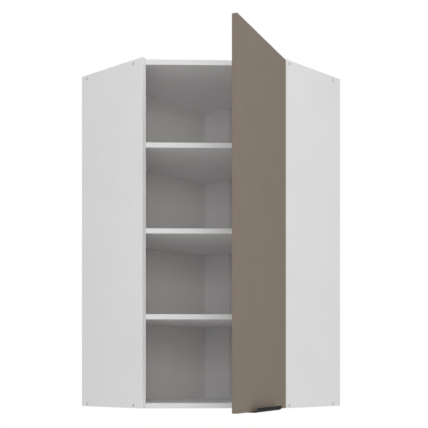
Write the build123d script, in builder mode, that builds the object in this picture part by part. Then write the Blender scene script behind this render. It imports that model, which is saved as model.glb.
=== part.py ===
from build123d import *
import math
import os

os.makedirs("parts", exist_ok=True)

# Corner wall cabinet with a diagonal front, in millimetres.
# Origin: the room corner, where both walls meet the plane of the underside. +Z is up and
# the diagonal front faces -Y. The door is drawn open, as it stands in the photograph.

# ---- Carcass ----
wall_leg = 600.0            # along each wall, from the room corner to a side's outer face
side_depth = 291.5          # from the wall to a side's square-cut front end
height = 1077.0
board = 16.0                # thickness of sides, top, bottom, shelves and corner strip
top_drop = 3.5              # top panel lies this far below the ends of the sides
band = 1.0                  # thickness of the edge bands on the front edges
band_round = 0.8            # rounding of the edge bands' long edges
fastener_fit = 0.05         # radial clearance of a screw, nail or pin in its hole

back_inset = 19.0           # from the wall to the outside of the back panels
back_thick = 3.0
groove_depth = 8.0
groove_play = 0.5           # bottom of the groove to the edge of the back panel
groove_fit = 0.1            # each side of the back panel in its groove

strip_width = 120.0         # corner strip, along the right wall
strip_thick = 19.0
shelf_names = ["lower_shelf", "middle_shelf", "upper_shelf"]
shelf_lift = 9.5            # undersides of the shelves, above an even division of the height
shelf_side_gap = 0.2
shelf_rear_gap = 1.0
shelf_setback = 0.6

# ---- Carcass screws and their caps ----
screw_length = 50.0
screw_head_radius = 5.0
screw_head_height = 3.2
screw_shank_radius = 3.5
screw_thread_radius = 3.0
screw_tip = 5.0
socket_flats = 4.0          # hexagonal socket, across flats
socket_depth = 2.6
screw_sink = 1.0            # head below the outer face, where the cap sits
screw_long_end = 39.5       # from the left side's front end, and from the right side's rear end
screw_short_end = 26.5      # from the other ends: one board, turned over for the other hand
cap_fit = 0.15              # radial clearance of a cap over the screw's head
cap_proud = 0.4
cap_stem_play = 0.2         # each side of the cap's stem in the socket
cap_stem_gap = 0.6          # end of the stem to the bottom of the socket

pin_radius = 2.5            # steel shelf pins
pin_in = 9.0
pin_out = 9.0
pin_round = 0.6
pin_from_front = 50.0
pin_from_rear = 62.0

nail_radius = 0.8           # nails that hold the back panels to the corner strip
nail_head_radius = 1.8
nail_head_height = 0.8
nail_length = 16.0
nail_rows = 6
nail_end_gap = 60.0
nail_edge = 24.0            # from the strip's long edges

# ---- Hangers in the upper rear corners ----
hanger_width = 18.0
hanger_depth = 46.0
hanger_height = 62.0
hanger_below_top = 8.0
hanger_round = 2.0
hook_thick = 2.5
hook_bar = 14.0             # height of the hook's bar
hook_end_gap = 3.0          # from the wall to the hook's tongue
hook_tongue = 3.5
hook_drop = 12.0            # length of the tongue under the bar
hook_in = 34.0              # how far the bar runs into the housing
hook_play = 0.25            # each side of the bar in its housing
hook_rise = 18.0            # bottom of the housing to the middle of the bar
back_cutout_play = 4.0
hanger_screw_radius = 2.0
hanger_screw_head_radius = 3.5
hanger_screw_head_height = 2.0
hanger_screw_length = 11.0      # into the side
hanger_screw_rise = 42.0        # bottom of the housing to the fixing screws
hanger_screw_edge = 11.0        # from the housing's front and rear faces
adjust_screw_radius = 2.5
adjust_screw_head_radius = 4.0
adjust_screw_head_height = 1.6
adjust_screw_length = 8.0
adjust_screw_rises = [18.0, 50.0]

# ---- Door ----
door_reveal = 8.14          # shut door's edges to the sides' outer front corners
door_thick = 16.0
door_gap_top = 7.0
door_gap_bottom = 1.3
door_open_angle = 66.2      # from shut, as photographed
pivot_in_door = 2.0         # hinge axis, outwards of the door's inner face at its hinge edge
front_clearance = 0.0       # door's inner face to the plane of the sides' outer front corners

# ---- Door hinges: a cup in the door, an angled arm on a plate, and two links ----
hinge_from_ends = 112.0     # outer hinges to the underside and to the sides' top ends
hinge_below_shelf = 58.0    # middle hinge, under the middle shelf
cup_radius = 17.4
cup_fit = 0.1
cup_depth = 11.5
cup_wall = 1.0
cup_edge_gap = 5.0          # board left between the cup and the door's hinge edge
cup_bore_extra = 0.5        # bore deeper than the cup
flange_thick = 1.2
flange_end = 7.0            # flange beyond the middle of each screw
flange_width = 22.0
flange_round = 5.0
flange_rim = 1.6            # round the cup
cup_screw_spacing = 48.0
cup_screw_offset = 6.0      # behind the cup's centre, away from the hinge edge
cup_screw_radius = 2.0
cup_screw_head_radius = 3.6
cup_screw_head_height = 1.6
cup_screw_length = 11.0

arm_pin_back = 4.3          # inner link's pin on the arm, behind the hinge axis with the door shut
arm_pin_in = 13.8           # the same pin, towards the middle of the front
cup_pin_along = 19.6        # outer link's pin in the cup, from the door's hinge edge
cup_pin_inward = 0.7        # the same pin, inwards of the hinge axis
arm_pin_radius = 2.0
link_pin_radius = 1.5
running_fit = 0.08          # radial clearance of a link on its pin
inner_link_half = 2.4       # half thickness of the inner link
inner_link_barrel = 4.9     # half length of its barrel on the arm pin
inner_link_round = 3.0
barrel_radius = 3.4
stub_clearance = 0.3        # inner link to the stub pins beside it
link_side_gap = 0.5         # inner link to the cheeks of the outer link
link_sheet = 1.5            # sheet of the outer link and of the arm's cheeks
outer_link_round = 2.7
outer_bridge_start = 5.6    # bridge between the cheeks, along the link
outer_bridge_end = 10.8
outer_bridge_near = 1.9     # from the link's centre line
arm_side_gap = 0.3          # inner link's barrel to the cheeks of the arm
arm_nose_radius = 4.0
arm_half_width = 4.2
arm_straight = 12.2         # from the arm pin to the bend
arm_back_length = 51.0      # from the bend to the arm's rear end
arm_web = 1.2
arm_web_start = 5.0         # behind the bend
pin_head_over = 0.5         # arm pin stands out of the cheeks

plate_from_front = 37.0     # plate screws to the side's front end
plate_screw_spacing = 32.0
plate_wing_width = 14.0
plate_wing_end = 10.0       # wing beyond the middle of each screw
plate_wing_thick = 2.0
plate_wing_round = 6.0
plate_block_front = 8.0     # block under the arm, from the side's front end
plate_block_rear = 44.0
plate_block_play = 0.3
plate_screw_radius = 2.5
plate_screw_head_radius = 4.2
plate_screw_head_height = 1.8
plate_screw_length = 12.0
arm_screw_radius = 2.0
arm_screw_head_radius = 3.4
arm_screw_head_height = 1.8
arm_screw_length = 7.0
arm_screw_places = [14.0, 34.0]     # from the side's front end: adjusting and fixing screw

# ---- Handle: black profile round the door's lower edge ----
handle_length = 210.0
handle_thick = 1.6
handle_flange = 20.0        # up the door's inner face
handle_reach = 21.5         # lip's front face, in front of the door
handle_top = 12.8           # top of the lip above the plane of the underside
handle_bend = 9.0           # outer radius from the plate up to the lip
handle_edge_round = 0.6
handle_screw_count = 3
handle_screw_end_gap = 20.0
handle_screw_rise = 12.0    # above the door's lower edge
handle_screw_radius = 1.75
handle_screw_head_radius = 3.2
handle_screw_head_height = 1.5
handle_screw_length = 12.0

# ---- Places worked out from the sizes above ----
root2 = math.sqrt(2.0)
inner_leg = wall_leg - board                        # to a side's inner face
front_half = (wall_leg - side_depth) / root2        # outer front corners, left and right
front_y = -(wall_leg + side_depth) / root2
top_face = height - top_drop
ceiling = top_face - board
back_inner = back_inset + back_thick
strip_front = back_inner + strip_thick
strip_middle = back_inner + strip_width / 2
groove_rim = back_inset - groove_fit
groove_width = back_thick + 2 * groove_fit
shelf_pitch = ceiling / (len(shelf_names) + 1)
shelf_heights = [shelf_lift + (row + 1) * shelf_pitch for row in range(len(shelf_names))]
door_width = 2 * (front_half - door_reveal)
door_bottom = door_gap_bottom
door_top = height - door_gap_top
hinge_heights = [
    hinge_from_ends,
    shelf_heights[1] - hinge_below_shelf,
    height - hinge_from_ends,
]
hanger_bottom = ceiling - hanger_below_top - hanger_height
hook_level = hanger_bottom + hook_rise
cup_centre = cup_edge_gap + cup_radius + cup_fit
cap_radius = screw_head_radius + fastener_fit - cap_fit
cap_stem_flats = socket_flats - 2 * cap_stem_play
cap_stem = socket_depth - cap_stem_gap
hanger_screw_spacing = hanger_depth - 2 * hanger_screw_edge
flange_length = cup_screw_spacing + 2 * flange_end
plate_wing_length = plate_screw_spacing + 2 * plate_wing_end
outer_link_in = inner_link_half + link_side_gap     # cheeks, from the hinge's middle
outer_link_out = outer_link_in + link_sheet
arm_cheek_in = inner_link_barrel + arm_side_gap
arm_cheek_out = arm_cheek_in + link_sheet

opened = math.radians(door_open_angle)
along = Vector(-math.cos(opened), -math.sin(opened), 0)     # hinge edge to free edge
outward = Vector(math.sin(opened), -math.cos(opened), 0)    # out of the door's front face
pivot = Vector(door_width / 2, front_y - front_clearance - pivot_in_door, 0)
arm_pin = pivot + Vector(-arm_pin_in, arm_pin_back, 0)
link_vector = along * cup_pin_along - outward * cup_pin_inward
cup_pin = pivot + link_vector
link_pin = arm_pin + link_vector

# Plan plane: local X runs along the left wall, local Y along the right wall, both from the
# room corner, so every board is square to it.
plan = Plane(origin=(0, 0, 0), x_dir=(-1, -1, 0), z_dir=(0, 0, 1))
left_wall_run = Vector(-1, -1, 0) / root2
right_wall_run = Vector(1, -1, 0) / root2


def side_plane(hand, inward=0.0):
    """Outer face of a side, moved inwards: local X is hand * depth from the front end, Y is up."""
    corner = (hand * front_half, front_y, 0)
    return Plane(origin=corner, x_dir=(1, hand, 0), z_dir=(hand, -1, 0)).offset(-inward)


def wall_point(along_left, along_right, level):
    """Point by its distances from the right wall and the left wall, and its height."""
    return left_wall_run * along_left + right_wall_run * along_right + Vector(0, 0, level)


def door_level(level):
    """Plan plane of the open door: local X from the hinge edge, local Y out of the front face."""
    return Plane(origin=pivot + Vector(0, 0, level), x_dir=along, z_dir=(0, 0, 1))


door_back = Plane(origin=pivot - outward * pivot_in_door, x_dir=along, z_dir=-outward)


def panel_outline(side_gap, rear, setback):
    """Five corners of a horizontal board in the plan plane."""
    edge = inner_leg - side_gap
    front = inner_leg + side_depth - setback * root2 - edge
    return [(rear, rear), (edge, rear), (edge, front), (front, edge), (rear, edge)]


def band_outline(side_gap, setback):
    """Edge band in front of a horizontal board whose band's face is set back."""
    edge = inner_leg - side_gap
    front = inner_leg + side_depth - setback * root2 - edge
    behind = front - band * root2
    return [(edge, behind), (edge, front), (front, edge), (behind, edge)]


def screw(head_radius, head_height, radius, length, flats, depth):
    """Screw along -Z with its head's underside at the origin and a hexagonal socket."""
    with BuildPart() as piece:
        Cylinder(head_radius, head_height, align=(Align.CENTER, Align.CENTER, Align.MIN))
        Cylinder(radius, length, align=(Align.CENTER, Align.CENTER, Align.MAX))
        with BuildSketch(Plane.XY.offset(head_height)):
            RegularPolygon(flats / 2, 6, major_radius=False)
        extrude(amount=-depth, mode=Mode.SUBTRACT)
        tip = piece.edges().filter_by(GeomType.CIRCLE).sort_by(Axis.Z)[0]
        chamfer(tip, radius * 0.4)
    return piece.part


def confirmat():
    """Carcass screw along -Z with the top of its head at the origin."""
    with BuildPart() as piece:
        with BuildSketch(Plane.XZ):
            with BuildLine():
                Polyline(
                    (0, 0),
                    (screw_head_radius, 0),
                    (screw_head_radius, -screw_head_height / 2),
                    (screw_shank_radius, -screw_head_height),
                    (screw_shank_radius, -board),
                    (screw_thread_radius, -board),
                    (screw_thread_radius, screw_tip - screw_length),
                    (screw_thread_radius / 2, -screw_length),
                    (0, -screw_length),
                    close=True,
                )
            make_face()
        revolve(axis=Axis.Z)
        with BuildSketch(Plane.XY):
            RegularPolygon(socket_flats / 2, 6, major_radius=False)
        extrude(amount=-socket_depth, mode=Mode.SUBTRACT)
    return piece.part


def confirmat_hole(depth_below_head):
    """Space of a carcass screw along -Z, down to a depth, with the open recess over its head."""
    with BuildPart() as space:
        with Locations((0, 0, screw_sink)):
            Cylinder(
                screw_head_radius + fastener_fit,
                screw_sink + screw_head_height + fastener_fit,
                align=(Align.CENTER, Align.CENTER, Align.MAX),
            )
        Cylinder(
            screw_shank_radius + fastener_fit,
            depth_below_head,
            align=(Align.CENTER, Align.CENTER, Align.MAX),
        )
    return space.part


def facing(point, direction):
    """Location at a point with its Z axis along a direction."""
    return Plane(origin=point, z_dir=direction).location


# ---- Where the fasteners are ----
panel_levels = [board / 2, ceiling + board / 2]
side_screw_depths = {
    -1: (screw_long_end, side_depth - screw_short_end),
    1: (screw_short_end, side_depth - screw_long_end),
}
side_screw_spots = {
    hand: [(depth, level) for depth in depths for level in panel_levels]
    for hand, depths in side_screw_depths.items()
}
side_screws = []
for hand in (-1, 1):
    for depth, level in side_screw_spots[hand]:
        spot = side_plane(hand, screw_sink).from_local_coords((hand * depth, level, 0))
        side_screws.append(facing(spot, Vector(hand, -1, 0)))

strip_mid_depth = back_inner + strip_thick / 2
strip_end_screws = [
    facing(wall_point(strip_mid_depth, strip_middle, top_face - screw_sink), (0, 0, 1)),
    facing(wall_point(strip_mid_depth, strip_middle, screw_sink), (0, 0, -1)),
]
strip_shelf_screws = [
    facing(wall_point(back_inner + screw_sink, strip_middle, low + board / 2), -left_wall_run)
    for low in shelf_heights
]

nail_levels = [
    board + nail_end_gap + row * (ceiling - board - 2 * nail_end_gap) / (nail_rows - 1)
    for row in range(nail_rows)
]
left_nails = [
    facing(wall_point(strip_mid_depth, back_inset, level), -right_wall_run)
    for level in nail_levels
]
right_nails = [
    facing(wall_point(back_inset, place, level), -left_wall_run)
    for level in nail_levels
    for place in (back_inner + nail_edge, back_inner + strip_width - nail_edge)
]

pin_spots = [
    (depth, low - pin_radius - fastener_fit)
    for depth in (pin_from_front, side_depth - pin_from_rear)
    for low in shelf_heights
]
plate_spots = [
    (plate_from_front, level + step * plate_screw_spacing / 2)
    for level in hinge_heights
    for step in (-1, 1)
]
hanger_middle = back_inner + hanger_depth / 2
hanger_fix_spots = [
    (side_depth - hanger_middle + step * hanger_screw_spacing / 2,
     hanger_bottom + hanger_screw_rise)
    for step in (-1, 1)
]


def cut_cylinders(plane, spots, radius, depth):
    """Round holes of one depth, drilled into the part being built from a plane."""
    with BuildSketch(plane) as holes:
        with Locations(*spots):
            Circle(radius)
    extrude(holes.sketch, amount=-depth, mode=Mode.SUBTRACT)


def make_side(hand):
    """Side panel with its groove, screw holes and drillings on the inner face."""
    inner_face = Plane(
        origin=side_plane(hand, board).origin, x_dir=(-1, -hand, 0), z_dir=(-hand, 1, 0)
    )
    with BuildPart() as side:
        with BuildSketch(side_plane(hand)):
            with Locations((hand * (band + side_depth) / 2, height / 2)):
                Rectangle(side_depth - band, height)
        extrude(amount=-board)
        with BuildSketch(inner_face):
            groove_middle = side_depth - groove_rim - groove_width / 2
            with Locations((-hand * groove_middle, height / 2)):
                Rectangle(groove_width, height)
        extrude(amount=-groove_depth, mode=Mode.SUBTRACT)
        outer_spots = [(hand * depth, level) for depth, level in side_screw_spots[hand]]
        cut_cylinders(side_plane(hand), outer_spots, screw_shank_radius + fastener_fit, board)
        cut_cylinders(
            side_plane(hand), outer_spots, screw_head_radius + fastener_fit,
            screw_sink + screw_head_height,
        )
        inner_spots = [(-hand * depth, level) for depth, level in pin_spots]
        cut_cylinders(inner_face, inner_spots, pin_radius + fastener_fit, pin_in + pin_round)
        fix_spots = [(-hand * depth, level) for depth, level in hanger_fix_spots]
        cut_cylinders(
            inner_face, fix_spots, hanger_screw_radius + fastener_fit,
            hanger_screw_length + fastener_fit,
        )
        if hand > 0:
            hinge_spots = [(-hand * depth, level) for depth, level in plate_spots]
            cut_cylinders(
                inner_face, hinge_spots, plate_screw_radius + fastener_fit,
                plate_screw_length + fastener_fit,
            )
    return side.part


for side_name, hand in (("left_side", -1), ("right_side", 1)):
    side = make_side(hand)
    side.label = side_name
    export_step(side, f"parts/{side_name}.step")



def side_foot(hand, inward=0.0):
    """Plan plane at a side's front end: local X runs back along the side."""
    return Plane(
        origin=side_plane(hand, inward).origin, x_dir=(hand, 1, 0), z_dir=(0, 0, 1)
    )


# Edge bands on the front ends of the sides.
with BuildPart() as side_edge_bands:
    for hand in (-1, 1):
        with BuildSketch(side_foot(hand)) as profile:
            with Locations((band / 2, hand * board / 2)):
                Rectangle(band, board)
            fillet(profile.vertices().group_by(Axis.X)[0], band_round)
        extrude(amount=height)
side_edge_bands.part.label = "side_edge_bands"
export_step(side_edge_bands.part, "parts/side_edge_bands.step")


carcass_screw = confirmat()
carcass_screw_space = confirmat_hole(screw_length + fastener_fit)


def cut_screw_holes(locations):
    """Holes of the carcass screws through the part being built."""
    with Locations(*locations):
        add(carcass_screw_space, mode=Mode.SUBTRACT)


def groove_lines(level, amount):
    """Two grooves for the back panels, cut into a horizontal board from a level."""
    with BuildSketch(plan.offset(level)) as grooves:
        middle = groove_rim + groove_width / 2
        with Locations((inner_leg / 2, middle)):
            Rectangle(inner_leg, groove_width)
        with Locations((middle, inner_leg / 2)):
            Rectangle(groove_width, inner_leg)
    extrude(grooves.sketch, amount=amount, mode=Mode.SUBTRACT)


with BuildPart() as bottom_panel:
    with BuildSketch(plan):
        Polygon(*panel_outline(0, 0, band), align=None)
    extrude(amount=board)
    groove_lines(board, -groove_depth)
    cut_screw_holes(side_screws + strip_end_screws)
bottom_panel.part.label = "bottom_panel"
export_step(bottom_panel.part, "parts/bottom_panel.step")

with BuildPart() as top_panel:
    with BuildSketch(plan.offset(ceiling)):
        Polygon(*panel_outline(0, 0, band), align=None)
    extrude(amount=board)
    groove_lines(ceiling, groove_depth)
    cut_screw_holes(side_screws + strip_end_screws)
top_panel.part.label = "top_panel"
export_step(top_panel.part, "parts/top_panel.step")

with BuildPart() as panel_edge_bands:
    for level in (0, ceiling):
        with BuildSketch(plan.offset(level)):
            Polygon(*band_outline(0, 0), align=None)
        extrude(amount=board)
    fillet(panel_edge_bands.edges().filter_by(Axis.X).group_by(Axis.Y)[0], band_round)
panel_edge_bands.part.label = "panel_edge_bands"
export_step(panel_edge_bands.part, "parts/panel_edge_bands.step")

# Shelves, notched round the corner strip.
for shelf_name, low in zip(shelf_names, shelf_heights):
    shelf_rear = back_inner + shelf_rear_gap
    with BuildPart() as shelf:
        with BuildSketch(plan.offset(low)):
            Polygon(*panel_outline(shelf_side_gap, shelf_rear, shelf_setback + band), align=None)
            notch_end = back_inner + strip_width + shelf_rear_gap
            with Locations(((shelf_rear + strip_front) / 2, (shelf_rear + notch_end) / 2)):
                Rectangle(
                    strip_front - shelf_rear, notch_end - shelf_rear, mode=Mode.SUBTRACT
                )
        extrude(amount=board)
        cut_screw_holes(strip_shelf_screws)
    shelf.part.label = shelf_name
    export_step(shelf.part, f"parts/{shelf_name}.step")

with BuildPart() as shelf_edge_bands:
    for low in shelf_heights:
        with BuildSketch(plan.offset(low)):
            Polygon(*band_outline(shelf_side_gap, shelf_setback), align=None)
        extrude(amount=board)
    fillet(shelf_edge_bands.edges().filter_by(Axis.X).group_by(Axis.Y)[0], band_round)
shelf_edge_bands.part.label = "shelf_edge_bands"
export_step(shelf_edge_bands.part, "parts/shelf_edge_bands.step")


def cut_nail_holes():
    """Holes of every nail through the part being built."""
    with Locations(*left_nails, *right_nails):
        Cylinder(
            nail_radius + fastener_fit,
            nail_length + fastener_fit,
            align=(Align.CENTER, Align.CENTER, Align.MAX),
            mode=Mode.SUBTRACT,
        )


# Corner strip against the right back panel, with its end edge against the left one.
with BuildPart() as corner_strip:
    with BuildSketch(plan.offset(board)):
        with Locations((strip_mid_depth, strip_middle)):
            Rectangle(strip_thick, strip_width)
    extrude(amount=ceiling - board)
    cut_screw_holes(strip_end_screws + strip_shelf_screws)
    cut_nail_holes()
corner_strip.part.label = "corner_strip"
export_step(corner_strip.part, "parts/corner_strip.step")

# Back panels in their grooves. The left one runs past the corner strip's end edge.
back_end = inner_leg + groove_depth - groove_play
back_bottom = board - groove_depth + groove_play
back_height = ceiling + groove_depth - groove_play - back_bottom
cutout_low = hook_level - hook_bar / 2 - hook_drop - back_cutout_play
cutout_high = hook_level + hook_bar / 2 + back_cutout_play


def make_back(start, swapped):
    """Back panel with the hook's cut-out beside the side panel."""
    with BuildPart() as back:
        with BuildSketch(plan.offset(back_bottom)):
            middle = ((start + back_end) / 2, back_inset + back_thick / 2)
            size = (back_end - start, back_thick)
            if swapped:
                middle, size = middle[::-1], size[::-1]
            with Locations(middle):
                Rectangle(*size)
        extrude(amount=back_height)
        with BuildSketch(plan.offset(cutout_low)):
            middle = (inner_leg - hanger_width / 2, back_inset + back_thick / 2)
            size = (hanger_width, 2 * back_thick)
            if swapped:
                middle, size = middle[::-1], size[::-1]
            with Locations(middle):
                Rectangle(*size)
        extrude(amount=cutout_high - cutout_low, mode=Mode.SUBTRACT)
        cut_nail_holes()
    return back.part


left_back = make_back(back_inset, False)
left_back.label = "left_back"
export_step(left_back, "parts/left_back.step")

right_back = make_back(back_inner, True)
right_back.label = "right_back"
export_step(right_back, "parts/right_back.step")

with BuildPart() as back_nails:
    with Locations(*left_nails, *right_nails):
        Cylinder(nail_radius, nail_length, align=(Align.CENTER, Align.CENTER, Align.MAX))
        Cylinder(
            nail_head_radius, nail_head_height, align=(Align.CENTER, Align.CENTER, Align.MIN)
        )
back_nails.part.label = "back_nails"
export_step(back_nails.part, "parts/back_nails.step")

with BuildPart() as carcass_screws:
    with Locations(*side_screws):
        add(carcass_screw)
carcass_screws.part.label = "carcass_screws"
export_step(carcass_screws.part, "parts/carcass_screws.step")

with BuildPart() as strip_screws:
    with Locations(*strip_end_screws, *strip_shelf_screws):
        add(carcass_screw)
strip_screws.part.label = "strip_screws"
export_step(strip_screws.part, "parts/strip_screws.step")

# Caps that close the heads on the outside of the sides.
with BuildPart() as screw_cap:
    Cylinder(
        cap_radius, screw_sink + cap_proud, align=(Align.CENTER, Align.CENTER, Align.MIN)
    )
    fillet(screw_cap.edges().filter_by(GeomType.CIRCLE).sort_by(Axis.Z)[-1], cap_proud * 0.9)
    with BuildSketch(Plane.XY):
        RegularPolygon(cap_stem_flats / 2, 6, major_radius=False)
    extrude(amount=-cap_stem)
with BuildPart() as screw_caps:
    with Locations(*side_screws):
        add(screw_cap.part)
screw_caps.part.label = "screw_caps"
export_step(screw_caps.part, "parts/screw_caps.step")

with BuildPart() as shelf_pin:
    Cylinder(pin_radius, pin_in + pin_out)
    fillet(shelf_pin.edges().filter_by(GeomType.CIRCLE), pin_round)
with BuildPart() as shelf_pins:
    for hand in (-1, 1):
        for depth, level in pin_spots:
            middle = board - (pin_in - pin_out) / 2
            spot = side_plane(hand, middle).from_local_coords((hand * depth, level, 0))
            with Locations(facing(spot, Vector(hand, -1, 0))):
                add(shelf_pin.part)
shelf_pins.part.label = "shelf_pins"
export_step(shelf_pins.part, "parts/shelf_pins.step")


# ---- Hangers ----
def hanger_plane(hand, inward):
    """Plane parallel to a side: local X is hand * distance from the wall towards the front."""
    origin = side_plane(hand, inward).from_local_coords((hand * side_depth, 0, 0))
    return Plane(origin=origin, x_dir=(-1, -hand, 0), z_dir=(-hand, 1, 0))


def hook_outline(hand, play):
    """Hook seen from the side: a bar into the housing and a tongue behind the back panel."""
    tail = back_inner + hook_in
    low = hook_level - hook_bar / 2
    high = hook_level + hook_bar / 2
    points = [
        (hook_end_gap - play, high + play),
        (tail + play, high + play),
        (tail + play, low - play),
        (hook_end_gap + hook_tongue + play, low - play),
        (hook_end_gap + hook_tongue + play, low - hook_drop - play),
        (hook_end_gap - play, low - hook_drop - play),
    ]
    return [(hand * across, level) for across, level in points]


hook_inward = board + hanger_width / 2
with BuildPart() as hanger_hooks:
    for hand in (-1, 1):
        with BuildSketch(hanger_plane(hand, hook_inward)):
            Polygon(*hook_outline(hand, 0), align=None)
        extrude(amount=hook_thick / 2, both=True)
hanger_hooks.part.label = "hanger_hooks"
export_step(hanger_hooks.part, "parts/hanger_hooks.step")

housing_gap = groove_fit
with BuildPart() as hanger_housings:
    for hand in (-1, 1):
        with BuildSketch(hanger_plane(hand, board)):
            middle = (
                hand * (hanger_middle + housing_gap), hanger_bottom + hanger_height / 2
            )
            with Locations(middle):
                RectangleRounded(hanger_depth, hanger_height, hanger_round)
        extrude(amount=hanger_width)
        with BuildSketch(hanger_plane(hand, hook_inward)):
            Polygon(*hook_outline(hand, hook_play), align=None)
        extrude(amount=hook_thick / 2 + hook_play, both=True, mode=Mode.SUBTRACT)
        fix_spots = [
            (hand * (side_depth - depth), level) for depth, level in hanger_fix_spots
        ]
        cut_cylinders(
            hanger_plane(hand, board + hanger_width), fix_spots,
            hanger_screw_radius + fastener_fit, hanger_width,
        )
        front = Plane(
            origin=hanger_plane(hand, hook_inward).from_local_coords(
                (hand * (back_inner + hanger_depth + housing_gap), 0, 0)
            ),
            x_dir=(1, -hand, 0),
            z_dir=(-hand, -1, 0),
        )
        cut_cylinders(
            front, [(0, hanger_bottom + rise) for rise in adjust_screw_rises],
            adjust_screw_radius + fastener_fit, adjust_screw_length + fastener_fit,
        )
hanger_housings.part.label = "hanger_housings"
export_step(hanger_housings.part, "parts/hanger_housings.step")

fix_screw = screw(
    hanger_screw_head_radius, hanger_screw_head_height, hanger_screw_radius,
    hanger_width + hanger_screw_length, hanger_screw_radius, hanger_screw_head_height / 2,
)
adjust_screw = screw(
    adjust_screw_head_radius, adjust_screw_head_height, adjust_screw_radius,
    adjust_screw_length, adjust_screw_radius, adjust_screw_head_height / 2,
)
with BuildPart() as hanger_screws:
    for hand in (-1, 1):
        outer = hanger_plane(hand, board + hanger_width)
        for depth, level in hanger_fix_spots:
            spot = outer.from_local_coords((hand * (side_depth - depth), level, 0))
            with Locations(facing(spot, Vector(-hand, 1, 0))):
                add(fix_screw)
        middle = hanger_plane(hand, hook_inward)
        for rise in adjust_screw_rises:
            reach = hand * (back_inner + hanger_depth + housing_gap)
            spot = middle.from_local_coords((reach, hanger_bottom + rise, 0))
            with Locations(facing(spot, Vector(-hand, -1, 0))):
                add(adjust_screw)
hanger_screws.part.label = "hanger_screws"
export_step(hanger_screws.part, "parts/hanger_screws.step")

# ---- Hinge plates and arms on the right side ----
hinge_side = side_plane(1, board)
arm_bend = arm_pin + Vector(0, arm_straight, 0)
bend_local = hinge_side.to_local_coords(arm_bend)
bend_inward = -bend_local.Z                     # arm's centre line off the side's inner face
arm_rear = bend_local.X + arm_back_length
web_top = bend_inward + arm_half_width
web_under = web_top - arm_web


def side_level(level):
    """Plan plane at the right side's front end: local X runs back, local Y runs inwards."""
    return side_foot(1, board).offset(level)


with BuildPart() as hinge_plates:
    for level in hinge_heights:
        with BuildSketch(hinge_side):
            with Locations((plate_from_front, level)):
                RectangleRounded(plate_wing_width, plate_wing_length, plate_wing_round)
        extrude(amount=-plate_wing_thick)
        with BuildSketch(side_level(level)):
            with Locations(((plate_block_front + plate_block_rear) / 2, web_under / 2)):
                Rectangle(plate_block_rear - plate_block_front, web_under)
        extrude(amount=arm_cheek_in - plate_block_play, both=True)
    cut_cylinders(
        hinge_side.offset(-plate_wing_thick),
        plate_spots,
        plate_screw_radius + fastener_fit,
        -plate_wing_thick,
    )
    cut_cylinders(
        hinge_side.offset(-web_under),
        [(place, level) for level in hinge_heights for place in arm_screw_places],
        arm_screw_radius + fastener_fit,
        -(arm_screw_length - arm_web + fastener_fit),
    )
hinge_plates.part.label = "hinge_plates"
export_step(hinge_plates.part, "parts/hinge_plates.step")

plate_screw = screw(
    plate_screw_head_radius, plate_screw_head_height, plate_screw_radius,
    plate_screw_length + plate_wing_thick, plate_screw_radius, plate_screw_head_height / 2,
)
with BuildPart() as hinge_plate_screws:
    for depth, level in plate_spots:
        spot = hinge_side.from_local_coords((depth, level, -plate_wing_thick))
        with Locations(facing(spot, Vector(-1, 1, 0))):
            add(plate_screw)
hinge_plate_screws.part.label = "hinge_plate_screws"
export_step(hinge_plate_screws.part, "parts/hinge_plate_screws.step")

with BuildPart() as hinge_arms:
    for level in hinge_heights:
        for step in (-1, 1):
            cheek_low = min(step * arm_cheek_in, step * arm_cheek_out)
            with BuildSketch(Plane.XY.offset(level + cheek_low)):
                with Locations((arm_pin.X, arm_pin.Y)):
                    Circle(arm_nose_radius)
                with Locations((arm_pin.X, arm_pin.Y + arm_straight / 2)):
                    Rectangle(2 * arm_nose_radius, arm_straight)
                with Locations((arm_bend.X, arm_bend.Y)):
                    Circle(arm_half_width)
                with Locations((arm_pin.X, arm_pin.Y)):
                    Circle(arm_pin_radius + fastener_fit, mode=Mode.SUBTRACT)
            extrude(amount=arm_cheek_out - arm_cheek_in)
            with BuildSketch(side_level(level + cheek_low)):
                with Locations(((bend_local.X + arm_rear) / 2, bend_inward)):
                    Rectangle(arm_back_length, 2 * arm_half_width)
            extrude(amount=arm_cheek_out - arm_cheek_in)
        with BuildSketch(side_level(level)):
            web_front = bend_local.X + arm_web_start
            with Locations(((web_front + arm_rear) / 2, web_top - arm_web / 2)):
                Rectangle(arm_rear - web_front, arm_web)
        extrude(amount=arm_cheek_out, both=True)
    cut_cylinders(
        hinge_side.offset(-web_top),
        [(place, level) for level in hinge_heights for place in arm_screw_places],
        arm_screw_radius + fastener_fit,
        -arm_web,
    )
hinge_arms.part.label = "hinge_arms"
export_step(hinge_arms.part, "parts/hinge_arms.step")

arm_screw = screw(
    arm_screw_head_radius, arm_screw_head_height, arm_screw_radius,
    arm_screw_length, arm_screw_radius, arm_screw_head_height / 2,
)
with BuildPart() as hinge_arm_screws:
    for level in hinge_heights:
        for place in arm_screw_places:
            spot = hinge_side.from_local_coords((place, level, -web_top))
            with Locations(facing(spot, Vector(-1, 1, 0))):
                add(arm_screw)
hinge_arm_screws.part.label = "hinge_arm_screws"
export_step(hinge_arm_screws.part, "parts/hinge_arm_screws.step")

with BuildPart() as hinge_arm_pins:
    for level in hinge_heights:
        with Locations((arm_pin.X, arm_pin.Y, level)):
            Cylinder(arm_pin_radius, 2 * (arm_cheek_out + pin_head_over))
hinge_arm_pins.part.label = "hinge_arm_pins"
export_step(hinge_arm_pins.part, "parts/hinge_arm_pins.step")

# ---- Links ----
link_length = link_vector.length
outer_vector = cup_pin - link_pin
outer_length = outer_vector.length


def inner_link_level(level):
    return Plane(origin=arm_pin + Vector(0, 0, level), x_dir=link_vector, z_dir=(0, 0, 1))


def outer_link_level(level):
    return Plane(origin=link_pin + Vector(0, 0, level), x_dir=outer_vector, z_dir=(0, 0, 1))


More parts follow.
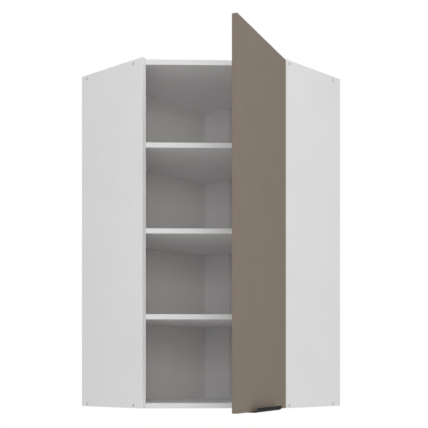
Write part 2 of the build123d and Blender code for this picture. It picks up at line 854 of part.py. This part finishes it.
with BuildPart() as hinge_inner_links:
    for level in hinge_heights:
        with BuildSketch(inner_link_level(level)):
            with Locations((link_length / 2, 0)):
                SlotCenterToCenter(link_length, 2 * inner_link_round)
        extrude(amount=inner_link_half, both=True)
        with BuildSketch(inner_link_level(level)):
            Circle(barrel_radius)
        extrude(amount=inner_link_barrel, both=True)
        with BuildSketch(inner_link_level(level)):
            Circle(arm_pin_radius + running_fit)
        extrude(amount=inner_link_barrel, both=True, mode=Mode.SUBTRACT)
        with BuildSketch(inner_link_level(level)):
            with Locations((link_length, 0)):
                Circle(link_pin_radius + fastener_fit)
        extrude(amount=inner_link_half, both=True, mode=Mode.SUBTRACT)
hinge_inner_links.part.label = "hinge_inner_links"
export_step(hinge_inner_links.part, "parts/hinge_inner_links.step")

with BuildPart() as hinge_link_pins:
    for level in hinge_heights:
        with Locations((link_pin.X, link_pin.Y, level)):
            Cylinder(link_pin_radius, 2 * (outer_link_out + pin_head_over / 2))
hinge_link_pins.part.label = "hinge_link_pins"
export_step(hinge_link_pins.part, "parts/hinge_link_pins.step")

with BuildPart() as hinge_outer_links:
    for level in hinge_heights:
        for step in (-1, 1):
            cheek_low = min(step * outer_link_in, step * outer_link_out)
            with BuildSketch(outer_link_level(level + cheek_low)):
                with Locations((outer_length / 2, 0)):
                    SlotCenterToCenter(outer_length, 2 * outer_link_round)
                with Locations((0, 0), (outer_length, 0)):
                    Circle(link_pin_radius + running_fit, mode=Mode.SUBTRACT)
            extrude(amount=outer_link_out - outer_link_in)
        with BuildSketch(outer_link_level(level)):
            bridge_middle = (outer_bridge_start + outer_bridge_end) / 2
            bridge_depth = outer_link_round - outer_bridge_near
            with Locations((bridge_middle, -outer_bridge_near - bridge_depth / 2)):
                Rectangle(outer_bridge_end - outer_bridge_start, bridge_depth)
        extrude(amount=outer_link_out, both=True)
hinge_outer_links.part.label = "hinge_outer_links"
export_step(hinge_outer_links.part, "parts/hinge_outer_links.step")

# ---- Door ----
cup_screw_place = cup_centre + cup_screw_offset
cup_screw_spots = [
    (cup_screw_place, level + step * cup_screw_spacing / 2)
    for level in hinge_heights
    for step in (-1, 1)
]
handle_middle = door_width / 2
handle_start = handle_middle - handle_length / 2
handle_screw_run = handle_length - 2 * handle_screw_end_gap
handle_screw_spots = [
    (
        handle_start + handle_screw_end_gap + index * handle_screw_run / (handle_screw_count - 1),
        door_bottom + handle_screw_rise,
    )
    for index in range(handle_screw_count)
]

door_height = door_top - door_bottom
door_middle = door_thick / 2 - pivot_in_door
with BuildPart() as door_panel:
    with BuildSketch(door_level(door_bottom + band)):
        with Locations((door_width / 2, door_middle)):
            Rectangle(door_width - 2 * band, door_thick)
    extrude(amount=door_height - 2 * band)
    cut_cylinders(
        door_back, [(cup_centre, level) for level in hinge_heights],
        cup_radius + cup_fit, cup_depth + cup_bore_extra,
    )
    cut_cylinders(
        door_back, cup_screw_spots, cup_screw_radius + fastener_fit,
        cup_screw_length + fastener_fit,
    )
    cut_cylinders(
        door_back, handle_screw_spots, handle_screw_radius + fastener_fit,
        handle_screw_length + fastener_fit,
    )
door_panel.part.label = "door_panel"
export_step(door_panel.part, "parts/door_panel.step")

# Edge bands round the door: its rounded block without the panel, cut at the corners.
with BuildPart() as door_edge_bands:
    with BuildSketch(door_level(door_bottom)):
        with Locations((door_width / 2, door_middle)):
            Rectangle(door_width, door_thick)
    extrude(amount=door_height)
    broad_faces = door_edge_bands.faces().sort_by(SortBy.AREA)[-2:]
    fillet([edge for face in broad_faces for edge in face.edges()], band_round)
    with BuildSketch(door_level(door_bottom + band)):
        with Locations((door_width / 2, door_middle)):
            Rectangle(door_width - 2 * band, door_thick)
    extrude(amount=door_height - 2 * band, mode=Mode.SUBTRACT)
    for place in (band, door_width - band):
        cut_point = door_level(0).from_local_coords((place, 0, 0))
        split(bisect_by=Plane(origin=cut_point, z_dir=along), keep=Keep.BOTH)
door_edge_bands.part.label = "door_edge_bands"
export_step(door_edge_bands.part, "parts/door_edge_bands.step")

# Hinge cups: pressed shells with a flange on the door's inner face.
with BuildPart() as hinge_cups:
    cup_spots = [(cup_centre, level) for level in hinge_heights]
    with BuildSketch(door_back):
        with Locations(*cup_spots):
            Circle(cup_radius)
    extrude(amount=-cup_depth)
    with BuildSketch(door_back):
        with Locations(*cup_spots):
            Circle(cup_radius + flange_rim)
        with Locations(*[(cup_screw_place, level) for level in hinge_heights]):
            RectangleRounded(flange_width, flange_length, flange_round)
    extrude(amount=flange_thick)
    with BuildSketch(door_back.offset(flange_thick)):
        with Locations(*cup_spots):
            Circle(cup_radius - cup_wall)
    extrude(amount=-(flange_thick + cup_depth - cup_wall), mode=Mode.SUBTRACT)
    cut_cylinders(
        door_back.offset(flange_thick), cup_screw_spots, cup_screw_radius + fastener_fit,
        flange_thick,
    )
    for level in hinge_heights:
        with Locations((cup_pin.X, cup_pin.Y, level)):
            Cylinder(
                link_pin_radius + fastener_fit, 2 * (cup_radius + cup_fit), mode=Mode.SUBTRACT
            )
hinge_cups.part.label = "hinge_cups"
export_step(hinge_cups.part, "parts/hinge_cups.step")

cup_screw = screw(
    cup_screw_head_radius, cup_screw_head_height, cup_screw_radius,
    cup_screw_length + flange_thick, cup_screw_radius, cup_screw_head_height / 2,
)
with BuildPart() as hinge_cup_screws:
    for place, level in cup_screw_spots:
        spot = door_back.from_local_coords((place, level, flange_thick))
        with Locations(facing(spot, -outward)):
            add(cup_screw)
hinge_cup_screws.part.label = "hinge_cup_screws"
export_step(hinge_cup_screws.part, "parts/hinge_cup_screws.step")

# Two stub pins in each cup carry the outer link's cheeks.
cup_chord = math.sqrt((cup_radius - cup_wall) ** 2 - (cup_centre - cup_pin_along) ** 2)
stub_start = inner_link_half + stub_clearance
stub_end = cup_chord + cup_wall / 2
with BuildPart() as hinge_cup_pins:
    for level in hinge_heights:
        for step in (-1, 1):
            stub_middle = level + step * (stub_start + stub_end) / 2
            with Locations((cup_pin.X, cup_pin.Y, stub_middle)):
                Cylinder(link_pin_radius, stub_end - stub_start)
hinge_cup_pins.part.label = "hinge_cup_pins"
export_step(hinge_cup_pins.part, "parts/hinge_cup_pins.step")

# ---- Handle: flange on the inner face, plate under the edge and a lip bent up in front ----
handle_section = Plane(
    origin=door_level(door_bottom).from_local_coords((handle_start, -pivot_in_door, 0)),
    x_dir=outward,
    z_dir=along,
)
with BuildPart() as handle:
    with BuildSketch(handle_section) as profile:
        with BuildLine():
            lip_face = door_thick + handle_reach
            lip_top = handle_top - door_bottom
            bend_start = lip_face - handle_bend
            bend_level = handle_bend - handle_thick
            Polyline(
                (bend_start, 0),
                (0, 0),
                (0, handle_flange),
                (-handle_thick, handle_flange),
                (-handle_thick, -handle_thick),
                (bend_start, -handle_thick),
            )
            TangentArc((bend_start, -handle_thick), (lip_face, bend_level), tangent=(1, 0))
            Polyline(
                (lip_face, bend_level),
                (lip_face, lip_top),
                (lip_face - handle_thick, lip_top),
                (lip_face - handle_thick, bend_level),
            )
            TangentArc((bend_start, 0), (lip_face - handle_thick, bend_level), tangent=(1, 0))
        make_face()
        tips = profile.vertices().group_by(Axis.Y)
        fillet(tips[-1] + tips[-2], handle_edge_round)
    extrude(amount=handle_length)
    cut_cylinders(
        door_back.offset(handle_thick), handle_screw_spots,
        handle_screw_radius + fastener_fit, handle_thick,
    )
handle.part.label = "handle"
export_step(handle.part, "parts/handle.step")

handle_screw = screw(
    handle_screw_head_radius, handle_screw_head_height, handle_screw_radius,
    handle_screw_length + handle_thick, handle_screw_radius, handle_screw_head_height / 2,
)
with BuildPart() as handle_screws:
    for place, level in handle_screw_spots:
        spot = door_back.from_local_coords((place, level, handle_thick))
        with Locations(facing(spot, -outward)):
            add(handle_screw)
handle_screws.part.label = "handle_screws"
export_step(handle_screws.part, "parts/handle_screws.step")

for name, point in (("hinge axis", pivot), ("arm pin", arm_pin), ("cup pin", cup_pin)):
    print(f"{name}: {point.X:.3f}, {point.Y:.3f}")
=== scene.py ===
import math

import bmesh
import bpy
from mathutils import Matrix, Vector

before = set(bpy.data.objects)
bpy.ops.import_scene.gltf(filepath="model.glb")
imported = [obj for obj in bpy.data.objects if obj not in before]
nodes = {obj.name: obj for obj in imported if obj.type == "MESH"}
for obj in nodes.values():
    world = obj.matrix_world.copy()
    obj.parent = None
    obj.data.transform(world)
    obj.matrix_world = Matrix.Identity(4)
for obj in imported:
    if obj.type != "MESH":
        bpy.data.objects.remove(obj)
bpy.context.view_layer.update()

# Corner wall cabinet, door open. Metres, Z up, room corner at the origin, front towards -Y.
millimetre = 0.001
millimetresPerMetre = 1000.0
print("frame loaded:", len(nodes), "nodes")

scene = bpy.context.scene
scene.view_settings.view_transform = "Standard"

# Camera, level, as in the photograph.
cameraSetup = {
    "eye": (-0.0822, -3.5652, 0.1191),  # just above the underside, left of the middle
    "tilt": 90.0,  # degrees up from straight down, so level
    "yaw": 1.65,  # degrees to the right of straight ahead
    "focalPixels": 956.06,
    "horizonPixel": 369.61,  # level camera: the horizon sits low in the picture
    "framePixels": 428,
    "sensor": 36.0,  # millimetres
    "farthest": 60.0,
}
cameraData = bpy.data.cameras.new("camera")
cameraObject = bpy.data.objects.new("camera", cameraData)
scene.collection.objects.link(cameraObject)
cameraData.sensor_width = cameraSetup["sensor"]
focalShare = cameraSetup["focalPixels"] / cameraSetup["framePixels"]
cameraData.lens = focalShare * cameraSetup["sensor"]
cameraData.shift_y = cameraSetup["horizonPixel"] / cameraSetup["framePixels"] - 0.5
cameraData.clip_end = cameraSetup["farthest"]
cameraObject.location = cameraSetup["eye"]
cameraObject.rotation_euler = (
    math.radians(cameraSetup["tilt"]), 0, math.radians(-cameraSetup["yaw"])
)
scene.camera = cameraObject
print("camera placed")


def linearColour(hexColour):  # sRGB hex to linear
    parts = [int(hexColour[i : i + 2], 16) / 255 for i in (1, 3, 5)]
    linear = [p / 12.92 if p <= 0.04045 else ((p + 0.055) / 1.055) ** 2.4 for p in parts]
    return (*linear, 1.0)


def addNode(tree, kind, props=None, inputs=None):
    node = tree.nodes.new(kind)
    for name, value in (props or {}).items():
        setattr(node, name, value)
    for name, value in (inputs or {}).items():
        if isinstance(value, bpy.types.NodeSocket):
            tree.links.new(value, node.inputs[name])
        else:
            node.inputs[name].default_value = value
    return node


def perMetre(size):  # pattern scale from the real size of one grain in millimetres
    return millimetresPerMetre / size


# How every finish varies. Grain finer than a pixel only shows close up.
patternSetup = {
    "cloudDetail": 3.0,
    "grainDetail": 2.0,
    "grainRoughness": 0.6,
    "chipTones": (0.15, 0.7),  # darkest chip, and how far the palest lies above it
    "noiseRange": (0.3, 0.7),  # the part of the noise that spans both colours
}


def makeMaterial(name, look):
    # cloud, grain and flake are sizes in millimetres, relief is strength and depth.
    material = bpy.data.materials.new(name)
    material.use_nodes = True
    tree = material.node_tree
    tree.nodes.clear()
    place = addNode(tree, "ShaderNodeTexCoord").outputs["Object"]
    if "stretch" in look:  # fibres that run one way
        stretched = {"Vector": place, "Scale": look["stretch"]}
        place = addNode(tree, "ShaderNodeMapping", {}, stretched).outputs["Vector"]
    broad = addNode(
        tree, "ShaderNodeTexNoise", {},
        {
            "Vector": place,
            "Scale": perMetre(look["cloud"]),
            "Detail": patternSetup["cloudDetail"],
        },
    ).outputs["Fac"]
    fine = addNode(
        tree, "ShaderNodeTexNoise", {},
        {
            "Vector": place,
            "Scale": perMetre(look["grain"]),
            "Detail": patternSetup["grainDetail"],
            "Roughness": patternSetup["grainRoughness"],
        },
    ).outputs["Fac"]
    colourFactor = broad
    if "flake" in look:  # pressed chips, each with its own tone
        chips = addNode(
            tree, "ShaderNodeTexVoronoi", {"feature": "F1"},
            {"Vector": place, "Scale": perMetre(look["flake"]), "Randomness": 1.0},
        ).outputs["Color"]
        tone = addNode(tree, "ShaderNodeSeparateColor", {}, {"Color": chips}).outputs["Red"]
        darkest, reach = patternSetup["chipTones"]
        colourFactor = addNode(
            tree, "ShaderNodeMath", {"operation": "MULTIPLY_ADD"},
            {0: tone, 1: reach, 2: darkest},
        ).outputs["Value"]
    noiseLow, noiseHigh = patternSetup["noiseRange"]
    spread = addNode(
        tree, "ShaderNodeMapRange", {},
        {"Value": colourFactor, "From Min": noiseLow, "From Max": noiseHigh},
    ).outputs["Result"]
    colour = addNode(
        tree, "ShaderNodeMix", {"data_type": "RGBA"},
        {
            "Factor": spread,
            6: linearColour(look["colours"][0]),
            7: linearColour(look["colours"][1]),
        },
    ).outputs[2]
    roughness = addNode(
        tree, "ShaderNodeMapRange", {},
        {"Value": fine, "To Min": look["roughness"][0], "To Max": look["roughness"][1]},
    ).outputs["Result"]
    bump = addNode(
        tree, "ShaderNodeBump", {},
        {
            "Height": fine,
            "Strength": look["relief"][0],
            "Distance": look["relief"][1] * millimetre,
        },
    ).outputs["Normal"]
    shader = addNode(
        tree, "ShaderNodeBsdfPrincipled", {},
        {
            "Base Color": colour,
            "Roughness": roughness,
            "Normal": bump,
            "Metallic": look.get("metallic", 0.0),
        },
    )
    if "ior" in look:
        shader.inputs["IOR"].default_value = look["ior"]
    if "specular" in look:
        shader.inputs["Specular IOR Level"].default_value = look["specular"]
    addNode(tree, "ShaderNodeOutputMaterial", {}, {"Surface": shader.outputs["BSDF"]})
    return material


# Melamine paper pressed on chipboard: an even white, faint orange peel from the press plate.
whiteMelamine = makeMaterial("white_melamine", {
    "colours": ("#E7E6E6", "#EAE9E9"), "cloud": 180, "grain": 1.6,
    "roughness": (0.40, 0.50), "relief": (0.25, 0.03), "ior": 1.5,
})
# The same board for panels and shelves, its white painted slightly brighter: painted light
# on the ceilings and floors inside.
shelfMelaminePaintedLight = makeMaterial("white_melamine_shelf_board_painted_light", {
    "colours": ("#F3F2F2", "#F6F5F5"), "cloud": 180, "grain": 1.6,
    "roughness": (0.40, 0.50), "relief": (0.25, 0.03), "ior": 1.5,
})
# Foil-faced strip board: the same white, a touch duller, and painted darker as painted shade
# of the inner corner.
stripBoardPaintedShade = makeMaterial("white_strip_board_painted_shade", {
    "colours": ("#DBDADA", "#DEDDDD"), "cloud": 180, "grain": 1.6,
    "roughness": (0.42, 0.52), "relief": (0.25, 0.03), "ior": 1.5,
})
# Extruded ABS edge band: a little smoother and shinier than the board.
whiteBand = makeMaterial("white_abs_band", {
    "colours": ("#E5E4E4", "#E8E7E7"), "cloud": 60, "grain": 0.9,
    "roughness": (0.34, 0.42), "relief": (0.2, 0.02), "ior": 1.54,
})
# Thinner melamine band on panels and shelves, painted greyer than the board: painted shade
# on the shelf fronts.
shelfBandPaintedShade = makeMaterial("white_melamine_band_painted_shade", {
    "colours": ("#D3D3D3", "#D6D6D6"), "cloud": 60, "grain": 0.9,
    "roughness": (0.38, 0.46), "relief": (0.2, 0.02), "ior": 1.5,
})
# Chipboard sawn across: pale chips and darker glue lines.
sawnChipboard = makeMaterial("sawn_chipboard", {
    "colours": ("#A98A5F", "#D3BC92"), "cloud": 20, "grain": 0.8, "flake": 2.2,
    "roughness": (0.75, 0.95), "relief": (0.7, 0.25), "ior": 1.45,
})
# White lacquer roller-coated on the fibreboard's inner face: even, with a soft sheen.
whiteLacquer = makeMaterial("white_lacquered_fibreboard", {
    "colours": ("#D6D5D4", "#D9D8D7"), "cloud": 120, "grain": 1.2,
    "roughness": (0.45, 0.58), "relief": (0.3, 0.03), "ior": 1.5,
})
# Hard fibreboard as it leaves the press: brown, with short dark fibres.
brownFibreboard = makeMaterial("brown_fibreboard", {
    "colours": ("#80603F", "#8C6B49"), "cloud": 5, "grain": 0.8, "stretch": (1.0, 1.0, 0.35),
    "roughness": (0.62, 0.8), "relief": (0.35, 0.06), "ior": 1.45,
})
# Matt taupe laminate with a very fine dead-flat texture.
taupeLaminate = makeMaterial("taupe_matt_laminate", {
    "colours": ("#877A6D", "#8A7D71"), "cloud": 90, "grain": 1.1,
    "roughness": (0.52, 0.62), "relief": (0.3, 0.03), "ior": 1.5, "specular": 0.15,
})
# Extruded ABS band in the door's colour: a shade darker and smoother than the laminate.
taupeBand = makeMaterial("taupe_abs_band", {
    "colours": ("#796E65", "#7C7167"), "cloud": 60, "grain": 0.8,
    "roughness": (0.48, 0.56), "relief": (0.2, 0.02), "ior": 1.54, "specular": 0.15,
})
# Black powder coat on a bent aluminium pull: fine satin grain.
blackPowderCoat = makeMaterial("black_powder_coat", {
    "colours": ("#131313", "#181818"), "cloud": 12, "grain": 0.5,
    "roughness": (0.42, 0.56), "relief": (0.35, 0.04), "ior": 1.5, "specular": 0.035,
})
# Zinc-plated steel: bluish, slightly blotchy.
zincPlate = makeMaterial("zinc_plated_steel", {
    "colours": ("#B9BDC2", "#CDD0D2"), "cloud": 3, "grain": 0.4,
    "roughness": (0.26, 0.4), "relief": (0.2, 0.02), "metallic": 1.0,
})
# Nickel-plated steel stampings: warmer and smoother than zinc.
nickelPlate = makeMaterial("nickel_plated_steel", {
    "colours": ("#B8B2A8", "#C6C1B8"), "cloud": 8, "grain": 0.5,
    "roughness": (0.2, 0.3), "relief": (0.15, 0.02), "metallic": 1.0,
})
# Moulded polythene caps, a shade greyer than the board.
greyCap = makeMaterial("grey_moulded_cap", {
    "colours": ("#C3C3C3", "#C9C9C9"), "cloud": 4, "grain": 0.5,
    "roughness": (0.45, 0.55), "relief": (0.2, 0.02), "ior": 1.5,
})
# Moulded nylon of the hangers: off-white with a satin skin.
whiteMoulding = makeMaterial("white_moulded_nylon", {
    "colours": ("#DADAD6", "#E0E0DC"), "cloud": 12, "grain": 0.6,
    "roughness": (0.4, 0.52), "relief": (0.25, 0.02), "ior": 1.53,
})
# Blackened steel screws: dark, with a dull metal sheen.
blackenedSteel = makeMaterial("blackened_steel", {
    "colours": ("#1E1E1F", "#29292A"), "cloud": 3, "grain": 0.4,
    "roughness": (0.35, 0.5), "relief": (0.2, 0.02), "metallic": 1.0,
})
print("materials made")

squareOn = 0.99  # cosine from which a face counts as square to a direction


def finishNode(name, material, edgeMaterial=None, broadFaces=()):
    # Faces square to one of broadFaces get the first material, sawn ones the second.
    node = nodes[name]
    node.data.materials.clear()
    node.data.materials.append(material)
    if edgeMaterial is None:
        return
    node.data.materials.append(edgeMaterial)
    for face in node.data.polygons:
        isBroad = any(face.normal.dot(direction) > squareOn for direction in broadFaces)
        face.material_index = 0 if isBroad else 1


# The walls run out from the room corner at 45 degrees, and each side stands square to one.
diagonal = 1 / math.sqrt(2)
up = Vector((0, 0, 1))
outLeft = Vector((-diagonal, -diagonal, 0))
outRight = Vector((diagonal, -diagonal, 0))

for board in ("top_panel", "bottom_panel", "lower_shelf", "middle_shelf", "upper_shelf"):
    finishNode(board, shelfMelaminePaintedLight, sawnChipboard, (up, -up))
finishNode("left_side", whiteMelamine, sawnChipboard, (outLeft, -outLeft))
finishNode("right_side", whiteMelamine, sawnChipboard, (outRight, -outRight))
stripFaces = (outLeft, -outLeft, outRight)
finishNode("corner_strip", stripBoardPaintedShade, sawnChipboard, stripFaces)
finishNode("left_back", whiteLacquer, brownFibreboard, (outRight,))
finishNode("right_back", whiteLacquer, brownFibreboard, (outLeft,))
finishes = {
    whiteBand: ("side_edge_bands",),
    shelfBandPaintedShade: ("panel_edge_bands", "shelf_edge_bands"),
    taupeLaminate: ("door_panel",),
    taupeBand: ("door_edge_bands",),
    blackPowderCoat: ("handle",),
    blackenedSteel: ("handle_screws",),
    greyCap: ("screw_caps",),
    whiteMoulding: ("hanger_housings",),
    zincPlate: (
        "back_nails", "carcass_screws", "strip_screws", "shelf_pins", "hanger_hooks",
        "hanger_screws", "hinge_plate_screws", "hinge_arm_screws", "hinge_cup_screws",
    ),
    nickelPlate: (
        "hinge_plates", "hinge_arms", "hinge_arm_pins", "hinge_inner_links",
        "hinge_link_pins", "hinge_outer_links", "hinge_cups", "hinge_cup_pins",
    ),
}
for material, names in finishes.items():
    for name in names:
        finishNode(name, material)
print("CAD pieces finished")


def seenDirectly(tree):  # 1 for what the camera, a reflection or clear glass shows
    rays = addNode(tree, "ShaderNodeLightPath")
    seen = rays.outputs["Is Camera Ray"]
    for ray in ("Is Glossy Ray", "Is Transmission Ray"):
        seen = addNode(
            tree, "ShaderNodeMath", {"operation": "MAXIMUM"}, {0: seen, 1: rays.outputs[ray]}
        ).outputs["Value"]
    return seen


# Floor well below the hanging cabinet.
floorSetup = {
    "size": 24.0, "centre": (0, -0.5), "level": -1.45, "glow": "#FFFFFF", "glowShare": 0.8,
}
floorMaterial = makeMaterial("pale_floor", {
    "colours": ("#EDEDEC", "#F1F1F0"), "cloud": 900, "grain": 6,
    "roughness": (0.6, 0.7), "relief": (0.05, 0.05), "ior": 1.5,
})
# Seen directly or in a reflection, the floor fades towards the white backdrop but keeps
# some of its shadow.
floorTree = floorMaterial.node_tree
floorOutput = next(n for n in floorTree.nodes if n.type == "OUTPUT_MATERIAL")
floorShader = floorOutput.inputs["Surface"].links[0].from_socket
floorGlow = addNode(
    floorTree, "ShaderNodeEmission", {},
    {"Color": linearColour(floorSetup["glow"]), "Strength": 1.0},
).outputs["Emission"]
floorSeen = addNode(
    floorTree, "ShaderNodeMath", {"operation": "MULTIPLY"},
    {0: seenDirectly(floorTree), 1: floorSetup["glowShare"]},
).outputs["Value"]
floorMixed = addNode(
    floorTree, "ShaderNodeMixShader", {}, {0: floorSeen, 1: floorShader, 2: floorGlow}
).outputs["Shader"]
floorTree.links.new(floorMixed, floorOutput.inputs["Surface"])
floorMesh = bpy.data.meshes.new("floor")
floorShape = bmesh.new()
bmesh.ops.create_grid(floorShape, x_segments=2, y_segments=2, size=floorSetup["size"] / 2)
floorShape.to_mesh(floorMesh)
floorShape.free()
floor = bpy.data.objects.new("floor", floorMesh)
floor.location = (*floorSetup["centre"], floorSetup["level"])
scene.collection.objects.link(floor)
floorMesh.materials.append(floorMaterial)

# Plain sky for the light, white backdrop for the eye.
worldSetup = {
    "sky": "#FFFFFF", "skyLevel": 0.42, "backdrop": "#FFFFFF", "backdropLevel": 1.0,
}
world = bpy.data.worlds.new("studio")
scene.world = world
world.use_nodes = True
worldTree = world.node_tree
worldTree.nodes.clear()
sky, backdrop = (
    addNode(
        worldTree, "ShaderNodeBackground", {},
        {
            "Color": linearColour(worldSetup[part]),
            "Strength": worldSetup[part + "Level"],
        },
    ).outputs["Background"]
    for part in ("sky", "backdrop")
)
chosen = addNode(
    worldTree, "ShaderNodeMixShader", {}, {0: seenDirectly(worldTree), 1: sky, 2: backdrop}
).outputs["Shader"]
addNode(worldTree, "ShaderNodeOutputWorld", {}, {"Surface": chosen})

# Four soft lamps, all turned to the middle of the cabinet: square sides in metres, watts.
lampTarget = (0.0, -0.5, 0.5)
lamps = {
    "frontLamp": {"eye": (-0.1, -4.6, 0.5), "size": 2.2, "power": 47.5},
    "middleLamp": {"eye": (0.0, -3.8, 1.6), "size": 2.0, "power": 24.5},
    "highRightLamp": {"eye": (1.9, -4.0, 2.0), "size": 2.0, "power": 17.0},
    "topLamp": {"eye": (0.0, -2.0, 4.0), "size": 2.4, "power": 11.5},
}
for name, setup in lamps.items():
    lampData = bpy.data.lights.new(name, "AREA")
    lampData.shape = "SQUARE"
    lampData.size = setup["size"]
    lampData.energy = setup["power"]
    lamp = bpy.data.objects.new(name, lampData)
    lamp.location = setup["eye"]
    aim = Vector(lampTarget) - Vector(setup["eye"])
    lamp.rotation_euler = aim.to_track_quat("-Z", "Y").to_euler()
    scene.collection.objects.link(lamp)
print("floor, world and lamps placed")
